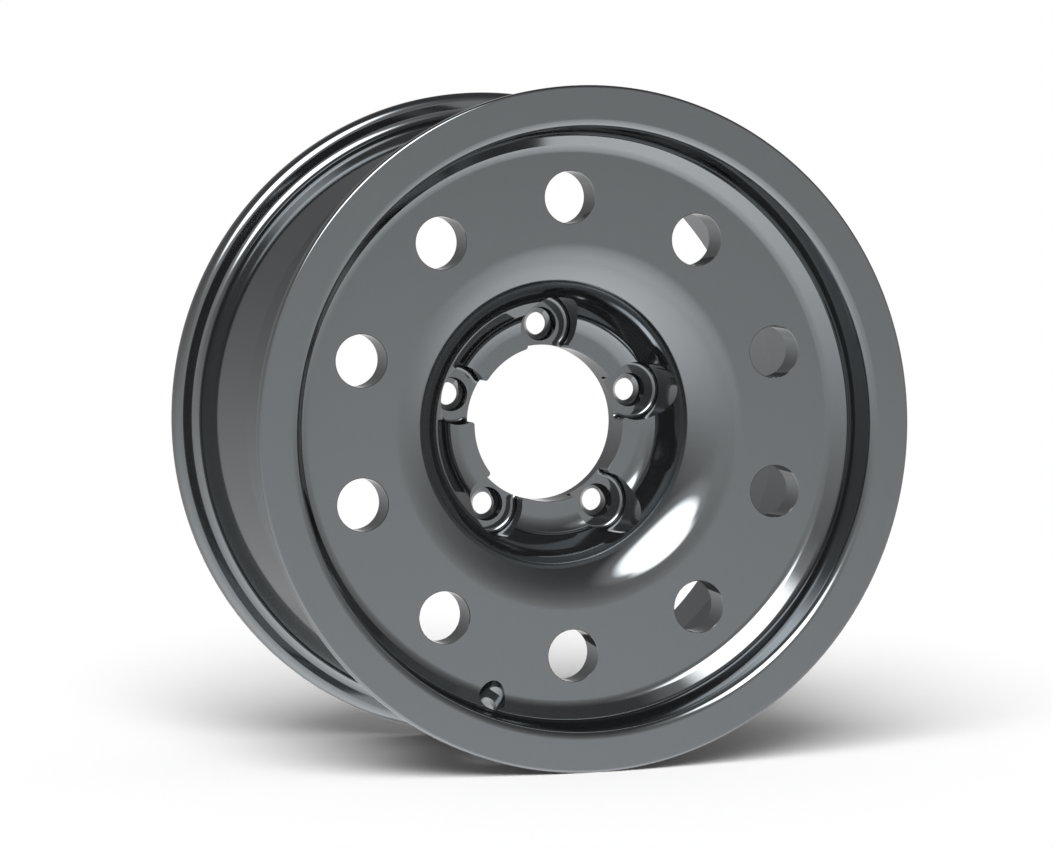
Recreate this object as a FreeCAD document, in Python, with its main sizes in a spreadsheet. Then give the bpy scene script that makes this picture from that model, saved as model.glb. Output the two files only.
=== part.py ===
import FreeCAD, Part
import math
import os
import re
import Sketcher
from FreeCAD import Placement, Rotation, Vector

# Bare wheel rim, cast in one piece. The wheel's axis is Y, the face looks towards -Y and the top is +Z.
# The origin is the rim's middle, where the hub's mounting face lies.
# Depths are counted backwards from the plane of the front lip, angles clockwise from the top.
SIZES = {
    # The rim's own standard sizes
    "seat_diameter": 436.6,         # bead seats, at the root of each flange
    "rim_width": 215.9,             # from flange to flange, where the tyre sits
    "flange_height": 17.3,
    "flange_width": 12.7,           # along the axis, from the tyre's side to the lip's face
    "flange_rounding": 6.7,         # the side that the tyre's bead leans on
    "flange_root": 6.5,
    "lip_edge": 2.0,
    "seat_taper": 5.0,
    "front_seat_width": 21.0,
    "rear_seat_width": 50.4,
    "seat_rounding": 5.0,
    # Drop-centre well and the barrel behind it
    "well_drop": 20.3,              # below the bead seats
    "well_front_slope": 45.0,
    "well_rear_slope": 14.0,
    "well_rounding": 8.0,
    "barrel_drop": 5.2,             # of the long rear stretch, below the bead seats
    "barrel_front": 133.0,          # depth at which that stretch begins
    "barrel_rounding": 25.0,
    "barrel_wall": 6.5,
    "rear_lip_width": 20.5,         # from the lip's edge in to the flare at the barrel's rear mouth
    "rear_flare_slope": 30.0,
    "rear_flare_rounding": 12.0,
    # Front lip, shoulder and flat disc
    "lip_width": 28.4,              # from the lip's edge to its inner wall, at the front plane
    "lip_wall_draft": 4.9,
    "lip_rounding": 6.0,
    "shoulder_step": 14.1,          # from that wall, at the front plane, in to the shoulder's corner
    "shoulder_slope": 41.3,
    "shoulder_rounding": 8.4,
    "lip_root": 10.0,
    "disc_depth": 42.1,
    "disc_thickness": 22.5,
    "disc_root": 12.0,
    # Dish, from the disc down to the hub
    "dish_width": 23.05,            # of the dish's upper slope
    "dish_slope": 31.0,
    "dish_rounding": 34.5,
    "throat_slope": 60.0,
    "throat_rounding": 65.0,
    "floor_depth": 90.0,
    "floor_width": 20.34,           # of the hub's floor, round the bore
    "floor_rounding": 16.0,
    # Hub
    "bore_diameter": 109.9,
    "bore_chamfer": 2.0,
    "pad_diameter": 168.0,
    "pad_step": 3.0,
    "hub_back_diameter": 200.0,
    "hub_back_slope": 84.0,
    "hub_back_rounding": 22.0,
    "hub_edge": 4.0,
    # Lug pockets, their seats and the bolt holes
    "lug_count": 5,
    "lug_circle": 139.7,
    "lug_hole": 16.0,
    "lug_seat": 24.0,
    "lug_seat_angle": 60.0,
    "pocket_diameter": 41.6,
    "pocket_rounding": 3.0,
    "pocket_corner": 2.5,
    "lug_pad": 12.6,                # metal left between the pocket's floor and the mounting face
    # Weight-saving recesses between the lugs, in the mounting face
    "relief_inner": 126.0,
    "relief_outer": 158.0,
    "relief_span": 30.0,
    "relief_depth": 8.0,
    "relief_corner": 4.0,
    # Vent holes through the disc
    "vent_count": 10,
    "vent_offset": 3.6,             # of their circle, outwards from the middle of the flat disc
    "vent_hole": 36.4,
    # Valve hole, slanted out from the shoulder into the well, and the recess round its mouth
    "valve_angle": 198.0,
    "valve_slope": 47.0,
    "valve_offset": 2.05,           # outwards from the shoulder's corner, where its axis crosses valve_depth
    "valve_depth": 40.0,
    "valve_hole": 11.5,
    "valve_recess": 19.6,
    "valve_recess_floor": 6.5,
}
RUN_OUT = 60.0                      # how far a cutting outline reaches past the metal
NEAR = 1e-3                         # places closer than this are the same


def bound(text):
    """Turns a formula in the names above into one that reads their cells."""
    return re.sub(r"[a-z_]+", lambda word: "sizes." + word[0] if word[0] in SIZES else word[0], text)


def value(text):
    return float(sheet.evalExpression(bound(text)))


# Depths and radii that several outlines share, as formulas
OVERALL = "(rim_width + 2 * flange_width)"
REAR_FLANGE = "(rim_width + flange_width)"
LIP = "(seat_diameter / 2 + flange_height)"
WELL = "(seat_diameter / 2 - well_drop)"
BARREL = "(seat_diameter / 2 - barrel_drop)"
MOUNTING = f"({OVERALL} / 2)"
FRONT_SEAT_END = "(flange_width + front_seat_width)"
REAR_SEAT_END = f"({REAR_FLANGE} - rear_seat_width)"
FRONT_SEAT = "(seat_diameter / 2 - front_seat_width * tan(seat_taper))"
REAR_SEAT = "(seat_diameter / 2 - rear_seat_width * tan(seat_taper))"
WELL_FRONT = f"({FRONT_SEAT_END} + ({FRONT_SEAT} - {WELL}) / tan(well_front_slope))"
WELL_REAR = f"(barrel_front - ({BARREL} - {WELL}) / tan(well_rear_slope))"
DISC_BACK = "(disc_depth + disc_thickness)"
HUB_BACK = f"({MOUNTING} - pad_step)"
THROAT_DEPTH = "(disc_depth + dish_width * tan(dish_slope))"
FLOOR_RIM = "(bore_diameter / 2 + floor_width)"
THROAT = f"({FLOOR_RIM} + (floor_depth - {THROAT_DEPTH}) / tan(throat_slope))"
DISH = f"({THROAT} + dish_width)"
LIP_WALL = f"({LIP} - lip_width)"
SHOULDER = f"({LIP_WALL} - shoulder_step)"
VENT_CIRCLE = f"(({DISH} + {SHOULDER}) / 2 + vent_offset)"
# The shoulder's cone meets the lip's inner wall here
LIP_FOOT = (
    "((disc_depth - shoulder_step * tan(shoulder_slope))"
    " / (1 - tan(lip_wall_draft) * tan(shoulder_slope)))"
)

# Corners of the rim's section: name, depth, radius and rounding, from the bore's front edge round the face
SECTION = [
    ("bore_front", "floor_depth", "bore_diameter / 2", "0"),
    ("floor_rim", "floor_depth", FLOOR_RIM, "floor_rounding"),
    ("throat", THROAT_DEPTH, THROAT, "throat_rounding"),
    ("dish", "disc_depth", DISH, "dish_rounding"),
    ("shoulder", "disc_depth", SHOULDER, "shoulder_rounding"),
    ("lip_foot", LIP_FOOT, f"{LIP_WALL} - {LIP_FOOT} * tan(lip_wall_draft)", "lip_root"),
    ("lip_mouth", "0", LIP_WALL, "lip_rounding"),
    ("front_lip", "0", LIP, "lip_edge"),
    ("front_flange", "flange_width", LIP, "flange_rounding"),
    ("front_flange_root", "flange_width", "seat_diameter / 2", "flange_root"),
    ("front_seat_end", FRONT_SEAT_END, FRONT_SEAT, "seat_rounding"),
    ("well_front", WELL_FRONT, WELL, "well_rounding"),
    ("well_rear", WELL_REAR, WELL, "well_rounding"),
    ("barrel_front", "barrel_front", BARREL, "barrel_rounding"),
    ("rear_seat_end", REAR_SEAT_END, REAR_SEAT, "barrel_rounding"),
    ("rear_flange_root", REAR_FLANGE, "seat_diameter / 2", "flange_root"),
    ("rear_flange", REAR_FLANGE, LIP, "flange_rounding"),
    ("rear_lip", OVERALL, LIP, "lip_edge"),
    ("rear_lip_mouth", OVERALL, f"{LIP} - rear_lip_width", "lip_edge"),
    ("rear_flare", f"{OVERALL} - (flange_height + barrel_wall - rear_lip_width) / tan(rear_flare_slope)",
     "seat_diameter / 2 - barrel_wall", "rear_flare_rounding"),
    ("inner_seat_end", REAR_SEAT_END, f"{REAR_SEAT} - barrel_wall", "barrel_rounding"),
    ("inner_barrel", "barrel_front", f"{BARREL} - barrel_wall", "barrel_rounding"),
    ("inner_well", f"{WELL_REAR} + barrel_wall * tan(well_rear_slope / 2)", f"{WELL} - barrel_wall",
     "well_rounding"),
    ("disc_root", DISC_BACK, f"{WELL} - barrel_wall", "disc_root"),
    ("hub_root", DISC_BACK, f"hub_back_diameter / 2 + ({HUB_BACK} - {DISC_BACK}) / tan(hub_back_slope)",
     "hub_back_rounding"),
    ("hub_rim", HUB_BACK, "hub_back_diameter / 2", "hub_edge"),
    ("pad_foot", HUB_BACK, "pad_diameter / 2 + pad_step", "0"),
    ("pad_rim", MOUNTING, "pad_diameter / 2", "0"),
    ("bore_chamfer_rim", MOUNTING, "bore_diameter / 2 + bore_chamfer", "0"),
    ("bore_rear", f"{MOUNTING} - bore_chamfer", "bore_diameter / 2", "0"),
]


def start_sketch(body, name, plane, expressions):
    """A sketch on one of the body's origin planes, placed there by the given formulas."""
    sketch = body.newObject("Sketcher::SketchObject", name)
    face = [item for item in body.Origin.OriginFeatures if item.Role == plane][0]
    sketch.AttachmentSupport = [(face, "")]
    sketch.MapMode = "FlatFace"
    for target, text in expressions.items():
        sketch.setExpression("AttachmentOffset." + target, bound(text))
    return sketch


def place_point(sketch, geometry, position, name, across, up):
    """Ties a point to the sketch's origin by two named formulas; a formula of 0 puts it on the axis."""
    for kind, text, axis in (("DistanceX", across, -2), ("DistanceY", up, -1)):
        if text == "0":
            sketch.addConstraint(Sketcher.Constraint("PointOnObject", geometry, position, axis))
            continue
        index = sketch.addConstraint(Sketcher.Constraint(kind, -1, 1, geometry, position, value(text)))
        sketch.renameConstraint(index, f"{name}_{kind}")
        sketch.setExpression(f"Constraints.{name}_{kind}", bound(text))


def tie_radius(sketch, kind, geometry, name, text):
    index = sketch.addConstraint(Sketcher.Constraint(kind, geometry, value(text)))
    sketch.renameConstraint(index, name)
    sketch.setExpression("Constraints." + name, bound(text))


def draw_outline(sketch, corners):
    """A closed outline: straight runs between the corners, with a tangent arc at each rounded corner."""
    points = [Vector(value(across), value(up), 0) for _, across, up, _ in corners]
    starts, ends, arcs = [], [], []
    for index, (point, corner) in enumerate(zip(points, corners)):
        before = (points[index - 1] - point).normalize()
        after = (points[(index + 1) % len(points)] - point).normalize()
        rounding = value(corner[3])
        half_angle = before.getAngle(after) / 2
        setback = rounding / math.tan(half_angle)
        ends.append(point + before * setback)
        starts.append(point + after * setback)
        middle = point + (before + after).normalize() * (rounding / math.sin(half_angle) - rounding)
        arcs.append(Part.Arc(ends[-1], middle, starts[-1]) if rounding else None)

    count = len(corners)
    for index in range(count):
        sketch.addGeometry(Part.LineSegment(starts[index], ends[(index + 1) % count]), False)
    for index, (name, across, up, _) in enumerate(corners):
        corner_point = sketch.addGeometry(Part.Point(points[index]), True)
        place_point(sketch, corner_point, 1, name, across, up)
        for line in (index - 1) % count, index:
            sketch.addConstraint(Sketcher.Constraint("PointOnObject", corner_point, 1, line))
    for index, (name, _, _, rounding) in enumerate(corners):
        line_in = (index - 1) % count
        if arcs[index] is None:
            sketch.addConstraint(Sketcher.Constraint("Coincident", line_in, 2, index, 1))
            continue
        arc = sketch.addGeometry(arcs[index], False)
        first = 1 if sketch.getPoint(arc, 1).isEqual(ends[index], 1e-6) else 2
        sketch.addConstraint([
            Sketcher.Constraint("Tangent", line_in, 2, arc, first),
            Sketcher.Constraint("Tangent", index, 1, arc, 3 - first),
        ])
        tie_radius(sketch, "Radius", arc, name + "_rounding", rounding)


def cut(body, kind, name, sketch, **settings):
    """Adds a cutting feature and makes sure that it takes metal away."""
    before = body.Shape.Volume
    feature = body.newObject(kind, name)
    feature.Profile = sketch
    for setting, given in settings.items():
        setattr(feature, setting, given)
    doc.recompute()
    if not body.Shape.Volume < before:
        raise RuntimeError(name + " cuts nothing")
    return feature


def repeat(body, name, features, count):
    """Repeats features evenly round the wheel's axis."""
    pattern = body.newObject("PartDesign::PolarPattern", name)
    pattern.Originals = features
    axis = [item for item in body.Origin.OriginFeatures if item.Role == "Y_Axis"][0]
    pattern.Axis = (axis, [""])
    pattern.Angle = 360
    pattern.setExpression("Occurrences", bound(count))
    body.Tip = pattern
    doc.recompute()
    return pattern


def round_edges(body, name, edges, radius):
    """Rounds the given edges of the body's newest feature."""
    base = body.Tip
    rounding = body.newObject("PartDesign::Fillet", name)
    rounding.Base = (base, edges)
    rounding.setExpression("Radius", bound(radius))
    body.Tip = rounding
    doc.recompute()
    return rounding


def turn_rim(body):
    """The whole casting's section, turned about the wheel's axis."""
    sketch = start_sketch(body, "section", "YZ_Plane", {"Base.x": f"-{OVERALL} / 2"})
    draw_outline(sketch, SECTION)
    rim = body.newObject("PartDesign::Revolution", "turned_rim")
    rim.Profile = sketch
    rim.ReferenceAxis = (sketch, ["H_Axis"])
    rim.Angle = 360
    doc.recompute()


def bore_vents(body):
    """Round holes through the flat disc."""
    sketch = start_sketch(body, "vent_outline", "XZ_Plane", {})
    centre = Vector(0, value(VENT_CIRCLE), 0)
    sketch.addGeometry(Part.Circle(centre, Vector(0, 0, 1), value("vent_hole / 2")))
    place_point(sketch, 0, 3, "vent", "0", VENT_CIRCLE)
    tie_radius(sketch, "Diameter", 0, "vent_hole", "vent_hole")
    vent = cut(body, "PartDesign::Pocket", "vent_hole", sketch, Type="ThroughAll", Midplane=True)
    repeat(body, "vent_holes", [vent], "vent_count")


def bore_lugs(body):
    """Lug pocket, conical seat and bolt hole as one cut turned about the lug's own axis."""
    floor = f"({MOUNTING} - lug_pad)"
    seat_depth = "((lug_seat - lug_hole) / 2 / tan(lug_seat_angle / 2))"
    sketch = start_sketch(body, "lug_section", "YZ_Plane",
                          {"Base.x": f"-{OVERALL} / 2", "Base.y": "lug_circle / 2"})
    draw_outline(sketch, [
        ("lug_axis_front", "0", "0", "0"),
        ("pocket_mouth", "0", "pocket_diameter / 2", "0"),
        ("pocket_foot", floor, "pocket_diameter / 2", "pocket_rounding"),
        ("seat_mouth", floor, "lug_seat / 2", "0"),
        ("seat_foot", f"{floor} + {seat_depth}", "lug_hole / 2", "0"),
        ("hole_rear", OVERALL, "lug_hole / 2", "0"),
        ("lug_axis_rear", OVERALL, "0", "0"),
    ])
    lug = cut(body, "PartDesign::Groove", "lug_pocket", sketch,
              ReferenceAxis=(sketch, ["H_Axis"]), Angle=360)
    repeat(body, "lug_pockets", [lug], "lug_count")


def round_pocket_corners(body):
    """Rounds the upright corners where the pockets' walls run out into the centre bore."""
    bore = value("bore_diameter / 2")
    hub_floor = value(f"floor_depth - {MOUNTING}")
    names = []
    for index, edge in enumerate(body.Shape.Edges, start=1):
        ends = sorted((vertex.Point for vertex in edge.Vertexes), key=lambda point: point.y)
        if len(ends) != 2 or edge.Curve.TypeId != "Part::GeomLine":
            continue
        upright = math.hypot(ends[0].x - ends[1].x, ends[0].z - ends[1].z) < NEAR
        in_bore = abs(math.hypot(ends[0].x, ends[0].z) - bore) < NEAR
        if upright and in_bore and abs(ends[0].y - hub_floor) < NEAR:
            names.append(f"Edge{index}")
    round_edges(body, "pocket_corners", names, "pocket_corner")


def sink_reliefs(body):
    """Weight-saving recesses in the mounting face, half-way between the lugs."""
    sketch = start_sketch(body, "relief_outline", "XZ_Plane", {})
    half = math.radians(value("relief_span / 2"))
    inner, outer = value("relief_inner / 2"), value("relief_outer / 2")
    centre = Vector(0, 0, 0)
    down = -math.pi / 2
    arcs = [Part.ArcOfCircle(Part.Circle(centre, Vector(0, 0, 1), radius), down - half, down + half)
            for radius in (inner, outer)]
    inner_arc = sketch.addGeometry(arcs[0], False)
    outer_arc = sketch.addGeometry(arcs[1], False)
    sides = []
    for end in (1, 2):
        side = Part.LineSegment(sketch.getPoint(inner_arc, end), sketch.getPoint(outer_arc, end))
        sides.append(sketch.addGeometry(side, False))
        sketch.addConstraint(Sketcher.Constraint("Coincident", sides[-1], 1, inner_arc, end))
        sketch.addConstraint(Sketcher.Constraint("Coincident", sides[-1], 2, outer_arc, end))
        sketch.addConstraint(Sketcher.Constraint("PointOnObject", -1, 1, sides[-1]))
    sketch.addConstraint(Sketcher.Constraint("Coincident", inner_arc, 3, -1, 1))
    sketch.addConstraint(Sketcher.Constraint("Coincident", outer_arc, 3, -1, 1))
    sketch.addConstraint(Sketcher.Constraint("Symmetric", outer_arc, 1, outer_arc, 2, -2))
    tie_radius(sketch, "Diameter", inner_arc, "relief_inner", "relief_inner")
    tie_radius(sketch, "Diameter", outer_arc, "relief_outer", "relief_outer")
    index = sketch.addConstraint(Sketcher.Constraint("Angle", sides[0], 1, sides[1], 1, 2 * half))
    sketch.renameConstraint(index, "relief_span")
    sketch.setExpression("Constraints.relief_span", bound("relief_span * 1 deg"))
    relief = cut(body, "PartDesign::Pocket", "relief", sketch, Midplane=True,
                 Length=2 * value("relief_depth"))
    relief.setExpression("Length", bound("2 * relief_depth"))
    upright = []
    for index, edge in enumerate(body.Shape.Edges, start=1):
        ends = [vertex.Point for vertex in edge.Vertexes]
        if len(ends) == 2 and abs(abs(ends[0].y - ends[1].y) - value("relief_depth")) < NEAR:
            distance = math.hypot(ends[0].x, ends[0].z)
            if min(abs(distance - inner), abs(distance - outer)) < NEAR:
                upright.append(f"Edge{index}")
    rounding = round_edges(body, "relief_corners", upright, "relief_corner")
    repeat(body, "reliefs", [relief, rounding], "lug_count")


def bore_valve(body):
    """The slanted valve hole and the recess round its mouth, as one turned cut."""
    sketch = start_sketch(body, "valve_section", "YZ_Plane", {})
    # The sketch is turned to the valve's place round the wheel, then its own axis is slanted outwards
    turn = Placement(Vector(0, 0, 0), Rotation(Vector(1, 0, 0), value("valve_angle")))
    start = Vector(value(f"valve_depth - {OVERALL} / 2"), value(f"{SHOULDER} + valve_offset"), 0)
    slant = Placement(start, Rotation(Vector(0, 0, 1), value("valve_slope")))
    sketch.AttachmentOffset = turn * slant
    draw_outline(sketch, [
        ("valve_axis_front", f"-{RUN_OUT / 3}", "0", "0"),
        ("recess_mouth", f"-{RUN_OUT / 3}", "valve_recess / 2", "0"),
        ("recess_foot", "valve_recess_floor", "valve_recess / 2", "0"),
        ("valve_mouth", "valve_recess_floor", "valve_hole / 2", "0"),
        ("valve_rear", f"{RUN_OUT}", "valve_hole / 2", "0"),
        ("valve_axis_rear", f"{RUN_OUT}", "0", "0"),
    ])
    cut(body, "PartDesign::Groove", "valve_hole", sketch, ReferenceAxis=(sketch, ["H_Axis"]), Angle=360)


doc = FreeCAD.newDocument("wheel_rim")
sheet = doc.addObject("Spreadsheet::Sheet", "sizes")
for row, (name, size) in enumerate(SIZES.items(), start=1):
    sheet.set(f"A{row}", name)
    sheet.set(f"B{row}", str(size))
    sheet.setAlias(f"B{row}", name)
doc.recompute()

rim_body = doc.addObject("PartDesign::Body", "rim_body")
rim_body.Label = "wheel_rim"
turn_rim(rim_body)
bore_vents(rim_body)
bore_lugs(rim_body)
round_pocket_corners(rim_body)
sink_reliefs(rim_body)
bore_valve(rim_body)
doc.recompute()

for item in doc.Objects:
    if "Invalid" in item.State or "Error" in item.State:
        raise RuntimeError(f"{item.Label} failed: {item.State}")
shape = rim_body.Shape
if shape.isNull() or not shape.isValid() or len(shape.Solids) != 1:
    raise RuntimeError("the rim isn't one valid solid")
os.makedirs("parts", exist_ok=True)
shape.exportStep(f"parts/{rim_body.Label}.step")
print(f"{rim_body.Label}: {shape.Volume / 1000:.1f} cm3, box {shape.BoundBox}")
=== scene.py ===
"""A bare wheel rim on a white studio floor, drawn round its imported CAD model.

Everything is in metres in the part's own frame: the wheel's axis is Y, its face looks
towards -Y and +Z is up, so the floor touches the two lips at their lowest point.
"""

import math

import bmesh
import bpy
from bpy.props import (
    FloatProperty, FloatVectorProperty, IntProperty, PointerProperty, StringProperty,
)
from mathutils import Euler, Matrix, Vector


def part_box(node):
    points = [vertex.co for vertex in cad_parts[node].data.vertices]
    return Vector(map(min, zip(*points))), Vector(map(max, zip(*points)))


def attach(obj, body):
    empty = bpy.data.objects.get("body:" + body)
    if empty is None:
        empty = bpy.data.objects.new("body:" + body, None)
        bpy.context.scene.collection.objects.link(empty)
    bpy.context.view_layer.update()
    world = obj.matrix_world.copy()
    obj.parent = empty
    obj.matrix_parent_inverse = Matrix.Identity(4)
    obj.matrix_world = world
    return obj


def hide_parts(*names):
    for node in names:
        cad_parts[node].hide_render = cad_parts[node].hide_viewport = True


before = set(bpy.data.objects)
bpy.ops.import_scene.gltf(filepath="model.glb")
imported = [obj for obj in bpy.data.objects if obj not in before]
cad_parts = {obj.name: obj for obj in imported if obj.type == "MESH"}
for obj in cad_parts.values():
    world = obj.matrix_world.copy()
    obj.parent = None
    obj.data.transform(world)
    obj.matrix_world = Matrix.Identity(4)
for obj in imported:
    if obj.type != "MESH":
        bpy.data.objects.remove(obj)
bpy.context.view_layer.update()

bl_info = {
    "name": "Wheel Rim Studio",
    "version": (1, 0, 0),
    "blender": (4, 5, 0),
    "location": "3D View > Sidebar > Wheel Rim",
    "description": "Dresses the wheel rim and sets up its studio",
    "category": "Object",
}

RIM_NODE = "wheel_rim"
FLOOR_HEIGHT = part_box(RIM_NODE)[0].z
MM = 0.001
SAME_PLACE = 1e-7       # vertices nearer to each other than this are one, in metres
SHARP_ANGLE = math.radians(30.0)
SENSOR_WIDTH = 36.0     # in millimetres
FLOOR_FACETS = 96

# Sockets of a Mix node that mixes colours, where the names alone don't tell them apart
MIX_SHARE, MIX_A, MIX_B, MIX_RESULT = 0, 6, 7, 2


def linear(hex_colour):
    """Turns an sRGB hex colour into the linear RGBA that the nodes take."""
    levels = [int(hex_colour[i:i + 2], 16) / 255 for i in (1, 3, 5)]
    return tuple(
        level / 12.92 if level <= 0.04045 else ((level + 0.055) / 1.055) ** 2.4
        for level in levels
    ) + (1.0,)


def grey(level):
    """Linear RGBA of a grey whose strength is already linear."""
    return (level, level, level, 1.0)


def add_node(tree, kind, settings=None, inputs=None):
    """Adds a node, sets its own settings, and fills or links its inputs by name or number."""
    node = tree.nodes.new(kind)
    for name, setting in (settings or {}).items():
        setattr(node, name, setting)
    for name, source in (inputs or {}).items():
        if isinstance(source, bpy.types.NodeSocket):
            tree.links.new(source, node.inputs[name])
        else:
            node.inputs[name].default_value = source
    return node


# Lengths are in millimetres, depths count from the plane of the front lip, and circles and
# holes are given by their radii
HALF_WIDTH = 120.65
DISC_DEPTH = 42.1
BORE_RADIUS = 54.95

# Corners of the rim's section from the bore's front edge round the face: depth, radius and
# rounding
RIM_SECTION = (
    ("bore front", 90.0, BORE_RADIUS, 0.4),
    ("hub floor", 90.0, 75.291, 16.0),
    ("throat", 55.95, 94.95, 65.0),
    ("dish", DISC_DEPTH, 118.0, 34.5),
    ("shoulder", DISC_DEPTH, 193.1, 8.4),
    ("lip foot", 32.133, 204.445, 10.0),
    ("lip mouth", 0.0, 207.2, 6.0),
    ("front lip", 0.0, 235.6, 2.0),
    ("front flange", 12.7, 235.6, 6.7),
    ("front flange root", 12.7, 218.3, 6.5),
    ("front seat end", 33.7, 216.463, 5.0),
    ("well front", 52.163, 198.0, 8.0),
    ("well rear", 72.437, 198.0, 8.0),
    ("barrel front", 130.5, 209.75, 25.0),
    ("rear flange root", 228.6, 218.3, 6.5),
    ("rear flange", 228.6, 235.6, 6.7),
    ("rear lip", 2 * HALF_WIDTH, 235.6, 2.0),
    ("rear lip mouth", 2 * HALF_WIDTH, 215.1, 2.0),
    ("rear flare", 235.584, 211.8, 12.0),
    ("inner seat end", 178.2, 207.391, 25.0),
    ("inner barrel", 133.0, 206.6, 25.0),
    ("inner well", 73.235, 191.5, 8.0),
    ("disc root", 64.6, 191.5, 12.0),
    ("hub root", 64.6, 105.576, 22.0),
    ("hub rim", 117.65, 100.0, 4.0),
    ("pad foot", 117.65, 87.0, 0.0),
    ("pad rim", HALF_WIDTH, 84.0, 0.0),
    ("bore chamfer rim", HALF_WIDTH, 56.95, 0.0),
    ("bore rear", 118.65, BORE_RADIUS, 0.0),
)
LONGEST_CHORD = 1.3     # between two points of a wide rounding

# What is cut out of it. Angles are in degrees, and facets are steps round a hole or a rounding
VENTS = {"count": 10, "circle": 159.15, "radius": 18.2, "edge_break": 0.35, "facets": 96}
LUGS = {"count": 5, "circle": 69.85, "pocket": 20.8, "pocket_foot": 3.0, "foot_facets": 6,
        "corner": 2.5, "floor": 108.05, "seat": 12.0, "seat_half_angle": 30.0, "hole": 8.0,
        "facets": 64}
RELIEFS = {"inner": 63.0, "outer": 79.0, "half_span": 15.0, "facets": 12, "depth": 8.0,
           "corner": 4.0, "corner_facets": 5}
VALVE = {"angle": 198.0, "slope": 47.0, "circle": 195.15, "depth": 40.0, "hole": 5.75,
         "recess": 9.8, "recess_floor": 6.5, "reach_out": 20.0, "reach_in": 60.0,
         "facets": 64}
CLEAR = 6.0             # how far a cutter reaches past the metal
CLOSING = 0.8           # where a pocket's cutter closes, as a share of the way to its mouth


def spot(depth, radius):
    """The place of a section point above the wheel's axis, in metres."""
    return Vector((0.0, (depth - HALF_WIDTH) * MM, radius * MM))


def draw_arc(shape, vertex, centre, axis, angle, step):
    """Swings a vertex round a centre and returns the arc's last vertex."""
    steps = max(2, math.ceil(abs(angle) / step))
    swung = bmesh.ops.spin(
        shape, geom=[vertex], cent=centre, axis=axis, angle=angle, steps=steps
    )
    return [item for item in swung["geom_last"] if isinstance(item, bmesh.types.BMVert)][0]


def draw_line(shape, vertex, end):
    """Draws a straight edge from a vertex to a place and returns its last vertex."""
    drawn = bmesh.ops.extrude_vert_indiv(shape, verts=[vertex])["verts"][0]
    drawn.co = end
    return drawn


def draw_outline(shape, corners, step=None):
    """Draws a closed outline: straight runs between corners, a true arc at each rounded one.

    The step is the largest turn between two points of an arc, and is needed for those alone.
    """
    first = last = None
    for index, (_, depth, radius, rounding) in enumerate(corners):
        point = spot(depth, radius)
        arrive = point
        if rounding:
            before = (spot(*corners[index - 1][1:3]) - point).normalized()
            after = (spot(*corners[(index + 1) % len(corners)][1:3]) - point).normalized()
            half = before.angle(after) / 2
            arrive = point + before * (rounding * MM / math.tan(half))
            centre = point + (before + after).normalized() * (rounding * MM / math.sin(half))
        last = draw_line(shape, last, arrive) if last else shape.verts.new(arrive)
        first = first or last
        if rounding:
            fine = min(step, LONGEST_CHORD / rounding)
            last = draw_arc(shape, last, centre, after.cross(before), math.pi - 2 * half, fine)
    shape.edges.new((last, first))


def turn(shape, steps):
    """Turns everything drawn so far about the Y axis and closes it."""
    bmesh.ops.spin(
        shape, geom=shape.verts[:] + shape.edges[:], cent=(0, 0, 0), axis=(0, 1, 0),
        angle=math.tau, steps=steps, use_merge=True,
    )
    bmesh.ops.remove_doubles(shape, verts=shape.verts[:], dist=SAME_PLACE)
    bmesh.ops.recalc_face_normals(shape, faces=shape.faces[:])


def put(shape, cutter, matrix):
    """Adds a copy of one cutter to another shape, at its place."""
    spare = bpy.data.meshes.new("spare")
    cutter.to_mesh(spare)
    spare.transform(matrix)
    shape.from_mesh(spare)
    bpy.data.meshes.remove(spare)


def round_the_wheel(radius, depth, degrees):
    """Where something sits at a bearing clockwise from the top, as the face shows it."""
    turned = Matrix.Rotation(math.radians(degrees), 4, "Y")
    return turned @ Matrix.Translation(spot(depth, radius))


def drill(profile, facets):
    """A solid drill, from the depths behind its own place and the radii of its outline."""
    shape = bmesh.new()
    outline = (("axis front", profile[0][1], 0.0), *profile, ("axis rear", profile[-1][1], 0.0))
    draw_outline(shape, [
        (name, HALF_WIDTH + depth, radius, 0.0) for name, depth, radius in outline
    ])
    turn(shape, facets)
    return shape


def vent_cutter():
    """A drill for the vent holes that also breaks their front edge."""
    radius, edge = VENTS["radius"], VENTS["edge_break"]
    return drill((
        ("mouth", -CLEAR, radius + edge),
        ("edge", 0.0, radius + edge),
        ("wall", edge, radius),
        ("rear", 6 * CLEAR, radius),
    ), VENTS["facets"])


def seat_cutter():
    """A countersink for the wheel nut's cone, and the drill for the bolt hole behind it."""
    seat, hole = LUGS["seat"], LUGS["hole"]
    cone = (seat - hole) / math.tan(math.radians(LUGS["seat_half_angle"]))
    return drill((
        ("mouth", -CLEAR, seat),
        ("seat", 0.0, seat),
        ("hole", cone, hole),
        ("rear", 4 * CLEAR, hole),
    ), LUGS["facets"])


def valve_cutter():
    """The drill for the valve hole, with the recess round its mouth."""
    return drill((
        ("mouth", -VALVE["reach_out"], VALVE["recess"]),
        ("recess", VALVE["recess_floor"], VALVE["recess"]),
        ("hole", VALVE["recess_floor"], VALVE["hole"]),
        ("rear", VALVE["reach_in"], VALVE["hole"]),
    ), VALVE["facets"])


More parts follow.
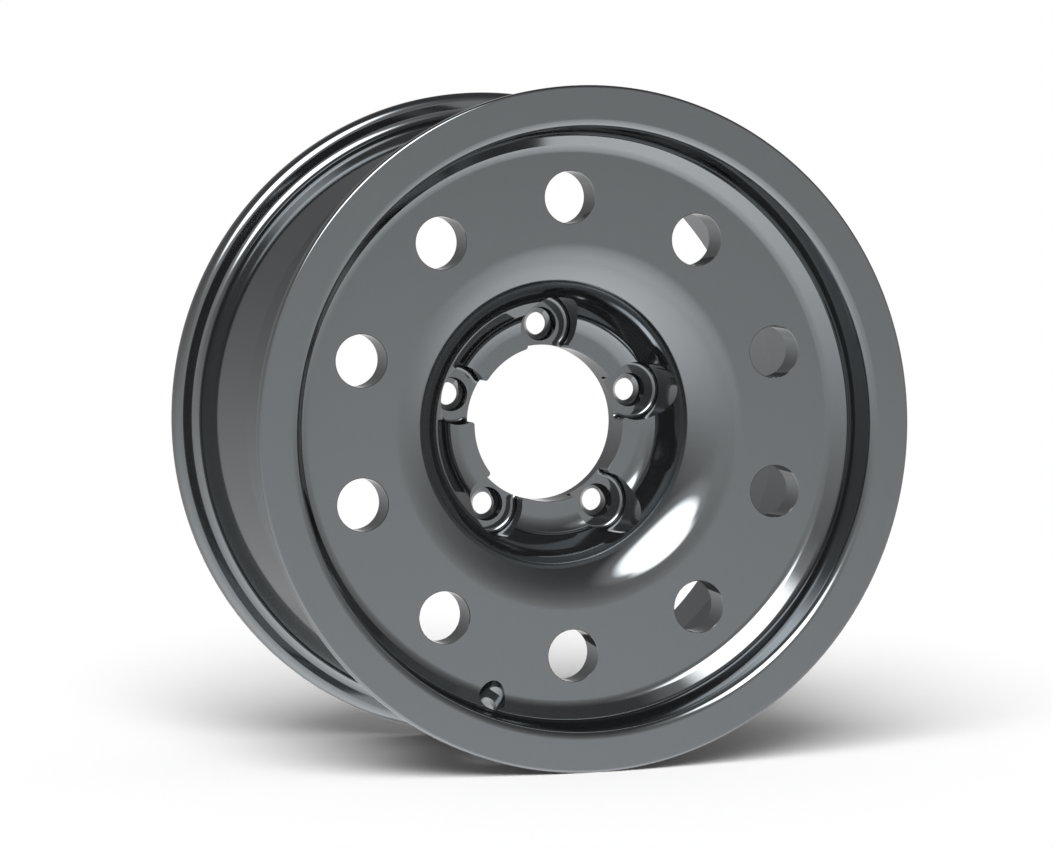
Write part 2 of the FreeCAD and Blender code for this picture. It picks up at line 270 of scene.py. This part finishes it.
def pocket_cutter(step):
    """The cutter for the lug pocket at the top, with rounded corners where it meets the bore."""
    shape = bmesh.new()
    circle, corner = LUGS["circle"], LUGS["corner"]
    reach, own = BORE_RADIUS + corner, LUGS["pocket"] + corner
    up = (reach ** 2 - own ** 2 + circle ** 2) / (2 * circle)
    across = math.sqrt(reach ** 2 - up ** 2)
    floor = (LUGS["floor"] - HALF_WIDTH) * MM
    lug = Vector((0.0, floor, circle * MM))
    right, left = (Vector((side * across * MM, floor, up * MM)) for side in (1, -1))
    axis_point = Vector((0.0, floor, 0.0))
    start = right + (axis_point - right).normalized() * corner * MM
    wall_start = right + (lug - right).normalized() * corner * MM
    wall_end = left + (lug - left).normalized() * corner * MM
    corner_turn = (start - right).angle(wall_start - right)
    pocket_turn = math.tau - (wall_start - lug).angle(wall_end - lug)
    end = Vector((-start.x, start.y, start.z))
    first = last = shape.verts.new(start)
    last = draw_arc(shape, last, right, (0, 1, 0), corner_turn, step)
    last = draw_arc(shape, last, lug, (0, 1, 0), -pocket_turn, step)
    last = draw_arc(shape, last, left, (0, 1, 0), corner_turn, step)
    if (last.co - end).length > 10 * SAME_PLACE:
        raise RuntimeError(f"the pocket's outline ends at {last.co}, not at {end}")
    for side in (end, start):
        last = draw_line(shape, last, Vector((side.x * CLOSING, floor, side.z * CLOSING)))
    shape.edges.new((last, first))
    bmesh.ops.edgeloop_fill(shape, edges=shape.edges[:])
    grown = bmesh.ops.extrude_face_region(shape, geom=shape.faces[:])
    lifted = [item for item in grown["geom"] if isinstance(item, bmesh.types.BMVert)]
    bmesh.ops.translate(
        shape, verts=lifted, vec=(0.0, -(LUGS["floor"] + CLEAR) * MM, 0.0)
    )
    bmesh.ops.recalc_face_normals(shape, faces=shape.faces[:])
    foot = [
        edge for edge in shape.edges
        if all(abs(vertex.co.y - floor) < SAME_PLACE for vertex in edge.verts)
    ]
    bmesh.ops.bevel(
        shape, geom=foot, offset=LUGS["pocket_foot"] * MM, offset_type="OFFSET",
        segments=LUGS["foot_facets"], profile=0.5, affect="EDGES", material=-1,
    )
    return shape


def relief_cutter():
    """A shallow recess of the mounting face, part of a ring, with rounded corners."""
    shape = bmesh.new()
    half = math.radians(RELIEFS["half_span"])
    floor = HALF_WIDTH - RELIEFS["depth"]
    inner = shape.verts.new(spot(floor, RELIEFS["inner"]))
    outer = shape.verts.new(spot(floor, RELIEFS["outer"]))
    shape.edges.new((inner, outer))
    bmesh.ops.rotate(shape, verts=shape.verts[:], matrix=Matrix.Rotation(-half, 3, "Y"))
    bmesh.ops.spin(
        shape, geom=shape.verts[:] + shape.edges[:], cent=(0, 0, 0), axis=(0, 1, 0),
        angle=2 * half, steps=RELIEFS["facets"],
    )
    bmesh.ops.dissolve_faces(shape, faces=shape.faces[:])
    grown = bmesh.ops.extrude_face_region(shape, geom=shape.faces[:])
    lifted = [item for item in grown["geom"] if isinstance(item, bmesh.types.BMVert)]
    bmesh.ops.translate(
        shape, verts=lifted, vec=(0.0, (RELIEFS["depth"] + CLEAR) * MM, 0.0)
    )
    bmesh.ops.recalc_face_normals(shape, faces=shape.faces[:])
    nearly_half = 0.999 * half
    corners = [
        edge for edge in shape.edges
        if abs(edge.verts[0].co.y - edge.verts[1].co.y) > MM
        and abs(math.atan2(edge.verts[0].co.x, edge.verts[0].co.z)) > nearly_half
    ]
    bmesh.ops.bevel(
        shape, geom=corners, offset=RELIEFS["corner"] * MM, offset_type="OFFSET",
        segments=RELIEFS["corner_facets"], profile=0.5, affect="EDGES", material=-1,
    )
    return shape


def object_of(shape, name):
    """Turns a bmesh into an object in the scene."""
    mesh = bpy.data.meshes.new(name)
    shape.to_mesh(mesh)
    shape.free()
    made = bpy.data.objects.new(name, mesh)
    bpy.context.scene.collection.objects.link(made)
    return made


def cut_away(body, cutters):
    """Takes the cutters out of a body for good."""
    for cutter in cutters:
        cut = body.modifiers.new(cutter.name, "BOOLEAN")
        cut.operation = "DIFFERENCE"
        cut.solver = "EXACT"
        cut.object = cutter
    depsgraph = bpy.context.evaluated_depsgraph_get()
    finished = bpy.data.meshes.new_from_object(body.evaluated_get(depsgraph))
    old = body.data
    body.modifiers.clear()
    body.data = finished
    bpy.data.meshes.remove(old)
    for cutter in cutters:
        mesh = cutter.data
        bpy.data.objects.remove(cutter)
        bpy.data.meshes.remove(mesh)


class RimShapeSettings(bpy.types.PropertyGroup):
    """How finely the rim is turned."""

    steps: IntProperty(
        name="Steps", description="Steps round the wheel", default=240, min=24, max=720
    )
    arc_step: FloatProperty(
        name="Arc step", description="Largest turn between two points of a rounding",
        default=math.radians(5.0), min=math.radians(1.0), unit="ROTATION",
    )


class RimPaintSettings(bpy.types.PropertyGroup):
    """The rim's paint."""

    colour: StringProperty(
        name="Colour", description="Paint colour as an sRGB hex value", default="#747779"
    )
    edge_colour: StringProperty(
        name="Edge colour",
        description="How much the paint reflects at a grazing look, as an sRGB hex value",
        default="#c4c4c4",
    )
    metallic: FloatProperty(
        name="Metallic", description="Share of the paint that flakes cover, not pigment",
        default=0.955, min=0.0, max=1.0,
    )
    roughness: FloatProperty(
        name="Roughness", description="Roughness of the polished top coat",
        default=0.06, min=0.0, max=1.0,
    )
    flake: FloatProperty(
        name="Flake", description="Size that the metal flakes are drawn at",
        default=0.9 * MM, min=0.05 * MM, unit="LENGTH",
    )
    flake_contrast: FloatProperty(
        name="Flake contrast", description="How much the paint varies from flake to flake",
        default=0.02, min=0.0, max=1.0,
    )
    polish: FloatProperty(
        name="Polish", description="Width of the patches that a polishing pad leaves",
        default=60.0 * MM, min=1.0 * MM, unit="LENGTH",
    )
    polish_contrast: FloatProperty(
        name="Polish contrast", description="How much the roughness varies between them",
        default=0.04, min=0.0, max=1.0,
    )
    ripple: FloatProperty(
        name="Ripple", description="Distance between the ripples that spraying leaves",
        default=5.0 * MM, min=0.1 * MM, unit="LENGTH",
    )
    ripple_height: FloatProperty(
        name="Ripple height", description="Height of those ripples",
        default=0.0003 * MM, min=0.0, unit="LENGTH",
    )


class RimStudioSettings(bpy.types.PropertyGroup):
    """The floor and the two softboxes."""

    floor_colour: StringProperty(
        name="Floor colour", description="Floor as an sRGB hex value", default="#fefefe"
    )
    floor_radius: FloatProperty(
        name="Floor radius", description="How far the floor reaches",
        default=2.2, min=0.5, unit="LENGTH",
    )
    floor_fade: FloatProperty(
        name="Floor fade", description="Where the floor begins to fade out",
        default=1.1, min=0.1, unit="LENGTH",
    )
    softbox_level: FloatProperty(
        name="Softbox", description="Brightness of the round softbox at the upper left",
        default=7.1, min=0.0,
    )
    fill_level: FloatProperty(
        name="Fill", description="Brightness of the smaller softbox under it",
        default=6.0, min=0.0,
    )


class RimCameraSettings(bpy.types.PropertyGroup):
    """The camera that looks at the face from a little to its left."""

    place: FloatVectorProperty(
        name="Place", description="Where the camera stands",
        default=(-0.97893, -2.85783, 0.17284), size=3, subtype="TRANSLATION", unit="LENGTH",
    )
    turn: FloatVectorProperty(
        name="Turn", description="How the camera is turned",
        default=(math.radians(86.6907), math.radians(0.4663), math.radians(-18.8226)),
        size=3, subtype="EULER", unit="ROTATION",
    )
    lens: FloatProperty(
        name="Focal length", description="Lens for a sensor 36 mm wide, in millimetres",
        default=145.5775, min=1.0,
    )


def gloss_grey_paint(settings):
    """Gloss grey metallic paint, sprayed on the cast and machined alloy and polished.

    The lacquer gives the eye an almost mirror-like surface, dark because the grey under it
    returns little. Close up the flakes make it shimmer faintly, the polishing leaves some
    patches a touch softer than others, and spraying leaves an orange-peel ripple.
    """
    material = bpy.data.materials.new("gloss_grey_paint")
    material.use_nodes = True
    tree = material.node_tree
    tree.nodes.clear()
    place = add_node(tree, "ShaderNodeTexCoord")
    # Real flakes are about 0.03 mm, too fine to show, so they are drawn coarser
    flakes = add_node(
        tree, "ShaderNodeTexVoronoi", {"voronoi_dimensions": "3D"},
        {"Vector": place.outputs["Object"], "Scale": 1 / settings.flake},
    )
    flake_tone = add_node(
        tree, "ShaderNodeSeparateColor", {}, {"Color": flakes.outputs["Color"]}
    )
    flake_level = add_node(
        tree, "ShaderNodeMapRange", {},
        {"Value": flake_tone.outputs["Red"], "To Min": 1 - settings.flake_contrast,
         "To Max": 1 + settings.flake_contrast},
    )
    grey_coat = add_node(
        tree, "ShaderNodeMix", {"data_type": "RGBA", "blend_type": "MULTIPLY"},
        {MIX_SHARE: 1.0, MIX_A: linear(settings.colour), MIX_B: flake_level.outputs["Result"]},
    )
    polish = add_node(
        tree, "ShaderNodeTexNoise", {"noise_dimensions": "3D"},
        {"Vector": place.outputs["Object"], "Scale": 1 / settings.polish, "Detail": 2.0},
    )
    # Nearly all of a noise's values lie between 0.3 and 0.7
    softness = add_node(
        tree, "ShaderNodeMapRange", {},
        {"Value": polish.outputs["Fac"], "From Min": 0.3, "From Max": 0.7,
         "To Min": settings.roughness * (1 - settings.polish_contrast),
         "To Max": settings.roughness * (1 + settings.polish_contrast)},
    )
    ripple = add_node(
        tree, "ShaderNodeTexNoise", {"noise_dimensions": "3D"},
        {"Vector": place.outputs["Object"], "Scale": 1 / settings.ripple, "Detail": 1.0,
         "Roughness": 0.4},
    )
    bump = add_node(
        tree, "ShaderNodeBump", {},
        {"Height": ripple.outputs["Fac"], "Distance": settings.ripple_height, "Strength": 1.0},
    )
    shader = add_node(
        tree, "ShaderNodeBsdfPrincipled", {},
        {"Base Color": grey_coat.outputs[MIX_RESULT], "Metallic": settings.metallic,
         "Roughness": softness.outputs["Result"],
         "Specular Tint": linear(settings.edge_colour), "Normal": bump.outputs["Normal"]},
    )
    add_node(tree, "ShaderNodeOutputMaterial", {}, {"Surface": shader.outputs["BSDF"]})
    return material


def floor_paper(settings):
    """Matt white studio paper that fades out where the surroundings take over."""
    material = bpy.data.materials.new("floor_paper")
    material.use_nodes = True
    tree = material.node_tree
    tree.nodes.clear()
    place = add_node(tree, "ShaderNodeTexCoord")
    distance = add_node(
        tree, "ShaderNodeVectorMath", {"operation": "LENGTH"}, {0: place.outputs["Object"]}
    )
    fade = add_node(
        tree, "ShaderNodeMapRange", {"interpolation_type": "SMOOTHSTEP"},
        {"Value": distance.outputs["Value"], "From Min": settings.floor_fade,
         "From Max": settings.floor_radius},
    )
    paper = add_node(
        tree, "ShaderNodeBsdfDiffuse", {}, {"Color": linear(settings.floor_colour)}
    )
    clear = add_node(tree, "ShaderNodeBsdfTransparent")
    mix = add_node(
        tree, "ShaderNodeMixShader", {},
        {0: fade.outputs["Result"], 1: paper.outputs["BSDF"], 2: clear.outputs["BSDF"]},
    )
    add_node(tree, "ShaderNodeOutputMaterial", {}, {"Surface": mix.outputs["Shader"]})
    return material


# Brightness of the surroundings by the sine of the height: a bright floor below, a dark ceiling
SURROUNDINGS = (
    (-1.0, 2.13), (-0.8, 1.78), (-0.3, 1.08), (0.0, 0.725), (0.15, 0.565), (0.3, 0.435),
    (0.6, 0.26), (0.85, 0.14), (1.0, 0.11),
)
# Round lights and paler stretches: bearing and height of the middle, and how far from it the
# full strength reaches and where the light ends, all in degrees. The glows have their strength
# after that: two that surround the softboxes, the whole left side, and the floor in front.
SOFTBOX = (-26.0, 45.2, 15.8, 23.8)
FILL = (-8.5, 31.5, 5.0, 13.2)
GLOWS = (
    (-26.0, 45.6, 22.0, 33.0, 0.45), (-20.0, 32.0, 16.0, 34.0, 0.16),
    (-35.0, 5.0, 0.0, 80.0, 0.1), (12.0, -22.0, 0.0, 24.0, 0.2),
)
# Where the white wall behind the rim ends on each side, and where it is fully white, in degrees
WALL = {"left": (-10.0, -4.0), "right": (46.0, 32.0), "top": (7.0, 3.5)}


def towards(bearing, height):
    """A direction, by its bearing from the face's side towards the right and its height."""
    turn, lift = math.radians(bearing), math.radians(height)
    return Vector((
        math.sin(turn) * math.cos(lift), -math.cos(turn) * math.cos(lift), math.sin(lift)
    ))


def surroundings(settings):
    """A plain studio.

    It has a dark ceiling over a pale floor, two round softboxes with soft edges at the upper
    left, and a white wall behind the rim.
    """
    world = bpy.data.worlds.new("studio")
    world.use_nodes = True
    tree = world.node_tree
    tree.nodes.clear()
    place = add_node(tree, "ShaderNodeTexCoord")
    parts = add_node(tree, "ShaderNodeSeparateXYZ", {}, {0: place.outputs["Generated"]})
    height = add_node(
        tree, "ShaderNodeMapRange", {},
        {"Value": parts.outputs["Z"], "From Min": -1.0, "From Max": 1.0},
    )
    ramp = add_node(tree, "ShaderNodeValToRGB", {}, {"Fac": height.outputs["Result"]})
    stops = ramp.color_ramp.elements
    while len(stops) > 1:
        stops.remove(stops[-1])
    for number, (up, level) in enumerate(SURROUNDINGS):
        position = (up + 1) / 2
        stop = stops[0] if number == 0 else stops.new(position)
        stop.position = position
        stop.color = grey(level)
    level = ramp.outputs["Color"]
    softboxes = (SOFTBOX + (settings.softbox_level,), FILL + (settings.fill_level,))
    for middle, lift, full, reach, amount in GLOWS + softboxes:
        near = add_node(
            tree, "ShaderNodeVectorMath", {"operation": "DOT_PRODUCT"},
            {0: place.outputs["Generated"], 1: towards(middle, lift)},
        )
        glow = add_node(
            tree, "ShaderNodeMapRange", {"interpolation_type": "SMOOTHSTEP"},
            {"Value": near.outputs["Value"], "From Min": math.cos(math.radians(reach)),
             "From Max": math.cos(math.radians(full)), "To Max": amount},
        )
        level = add_node(
            tree, "ShaderNodeMix", {"data_type": "RGBA", "blend_type": "ADD"},
            {MIX_SHARE: 1.0, MIX_A: level, MIX_B: glow.outputs["Result"]},
        ).outputs[MIX_RESULT]
    bearing = add_node(
        tree, "ShaderNodeMath", {"operation": "ARCTAN2"},
        {0: parts.outputs["X"], 1: parts.outputs["Y"]},
    ).outputs[0]
    wall = 1.0
    for source, (end, full) in (
        (bearing, map(math.radians, WALL["left"])),
        (bearing, map(math.radians, WALL["right"])),
        (parts.outputs["Z"], (math.sin(math.radians(edge)) for edge in WALL["top"])),
    ):
        inside = add_node(
            tree, "ShaderNodeMapRange", {"interpolation_type": "SMOOTHSTEP"},
            {"Value": source, "From Min": end, "From Max": full},
        )
        wall = add_node(
            tree, "ShaderNodeMath", {"operation": "MULTIPLY"},
            {0: wall, 1: inside.outputs["Result"]},
        ).outputs[0]
    colour = add_node(
        tree, "ShaderNodeMix", {"data_type": "RGBA"},
        {MIX_SHARE: wall, MIX_A: level, MIX_B: grey(1.0)},
    )
    light = add_node(
        tree, "ShaderNodeBackground", {},
        {"Color": colour.outputs[MIX_RESULT], "Strength": 1.0},
    )
    add_node(tree, "ShaderNodeOutputWorld", {}, {"Surface": light.outputs["Background"]})
    return world


class OBJECT_OT_rim_casting(bpy.types.Operator):
    """Turn the rim, drill it and paint it"""

    bl_idname = "wheel_rim.casting"
    bl_label = "Rim"

    def execute(self, context):
        settings = context.scene.rim_shape
        turned = bmesh.new()
        draw_outline(turned, RIM_SECTION, settings.arc_step)
        turn(turned, settings.steps)
        rim = object_of(turned, "rim_casting")

        vent, valve, seat = vent_cutter(), valve_cutter(), seat_cutter()
        pocket, relief = pocket_cutter(settings.arc_step), relief_cutter()
        drills, seats = bmesh.new(), bmesh.new()
        for number in range(VENTS["count"]):
            degrees = number * 360 / VENTS["count"]
            put(drills, vent, round_the_wheel(VENTS["circle"], DISC_DEPTH, degrees))
        slant = Matrix.Rotation(math.radians(-VALVE["slope"]), 4, "X").inverted()
        mouth = round_the_wheel(VALVE["circle"], VALVE["depth"], VALVE["angle"])
        put(drills, valve, mouth @ slant)
        for number in range(LUGS["count"]):
            degrees = number * 360 / LUGS["count"]
            between = degrees + 180 / LUGS["count"]
            put(drills, pocket, Matrix.Rotation(math.radians(degrees), 4, "Y"))
            put(drills, relief, Matrix.Rotation(math.radians(between), 4, "Y"))
            put(seats, seat, round_the_wheel(LUGS["circle"], LUGS["floor"], degrees))
        for cutter in (vent, valve, seat, pocket, relief):
            cutter.free()
        cut_away(rim, [object_of(drills, "drills"), object_of(seats, "seats")])

        rim.data.materials.clear()
        rim.data.materials.append(gloss_grey_paint(context.scene.rim_paint))
        rim.data.shade_smooth()
        rim.data.set_sharp_from_angle(angle=SHARP_ANGLE)
        # The widest faces alone set the shading, so the flats stay flat beside their roundings
        even = rim.modifiers.new("even_shading", "WEIGHTED_NORMAL")
        even.mode = "FACE_AREA"
        even.weight = 100
        even.keep_sharp = True
        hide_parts(RIM_NODE)
        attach(rim, "root")
        return {"FINISHED"}


class OBJECT_OT_rim_stage(bpy.types.Operator):
    """Make the floor and the surroundings"""

    bl_idname = "wheel_rim.stage"
    bl_label = "Studio"

    def execute(self, context):
        settings = context.scene.rim_studio
        floor_mesh = bpy.data.meshes.new("floor")
        shape = bmesh.new()
        bmesh.ops.create_circle(
            shape, cap_ends=True, radius=settings.floor_radius, segments=FLOOR_FACETS
        )
        shape.to_mesh(floor_mesh)
        shape.free()
        floor = bpy.data.objects.new("floor", floor_mesh)
        floor.location = (0.0, 0.0, FLOOR_HEIGHT)
        floor_mesh.materials.append(floor_paper(settings))
        context.scene.collection.objects.link(floor)
        # The gloss mirrors the surroundings alone, whose lower half is the floor's brightness
        floor.visible_glossy = False
        context.scene.world = surroundings(settings)
        return {"FINISHED"}


class OBJECT_OT_rim_camera(bpy.types.Operator):
    """Place the camera"""

    bl_idname = "wheel_rim.camera"
    bl_label = "Camera"

    def execute(self, context):
        settings = context.scene.rim_camera
        lens = bpy.data.cameras.new("camera")
        lens.sensor_fit = "HORIZONTAL"
        lens.sensor_width = SENSOR_WIDTH
        lens.lens = settings.lens
        camera = bpy.data.objects.new("camera", lens)
        camera.location = settings.place
        camera.rotation_euler = Euler(settings.turn, "XYZ")
        context.scene.collection.objects.link(camera)
        context.scene.camera = camera
        return {"FINISHED"}


class VIEW3D_PT_wheel_rim(bpy.types.Panel):
    """Sizes, colours and steps of the wheel rim's picture"""

    bl_idname = "VIEW3D_PT_wheel_rim"
    bl_label = "Wheel Rim"
    bl_space_type = "VIEW_3D"
    bl_region_type = "UI"
    bl_category = "Wheel Rim"

    def draw(self, context):
        scene = context.scene
        for operator, groups in (
            (OBJECT_OT_rim_camera, (scene.rim_camera,)),
            (OBJECT_OT_rim_stage, (scene.rim_studio,)),
            (OBJECT_OT_rim_casting, (scene.rim_shape, scene.rim_paint)),
        ):
            box = self.layout.box()
            for group in groups:
                for name in group.__annotations__:
                    box.prop(group, name)
            box.operator(operator.bl_idname)


CLASSES = (
    RimShapeSettings,
    RimPaintSettings,
    RimStudioSettings,
    RimCameraSettings,
    OBJECT_OT_rim_casting,
    OBJECT_OT_rim_stage,
    OBJECT_OT_rim_camera,
    VIEW3D_PT_wheel_rim,
)


def register():
    for cls in CLASSES:
        bpy.utils.register_class(cls)
    bpy.types.Scene.rim_shape = PointerProperty(type=RimShapeSettings)
    bpy.types.Scene.rim_paint = PointerProperty(type=RimPaintSettings)
    bpy.types.Scene.rim_studio = PointerProperty(type=RimStudioSettings)
    bpy.types.Scene.rim_camera = PointerProperty(type=RimCameraSettings)


def unregister():
    del bpy.types.Scene.rim_camera
    del bpy.types.Scene.rim_studio
    del bpy.types.Scene.rim_paint
    del bpy.types.Scene.rim_shape
    for cls in reversed(CLASSES):
        bpy.utils.unregister_class(cls)


def main():
    register()
    bpy.context.scene.view_settings.view_transform = "Standard"
    # Light thrown back by the gloss would wash out the dark shadow where the lips touch the floor
    bpy.context.scene.cycles.caustics_reflective = False
    bpy.ops.wheel_rim.camera()
    bpy.ops.wheel_rim.stage()
    bpy.ops.wheel_rim.casting()


if __name__ == "__main__":
    main()
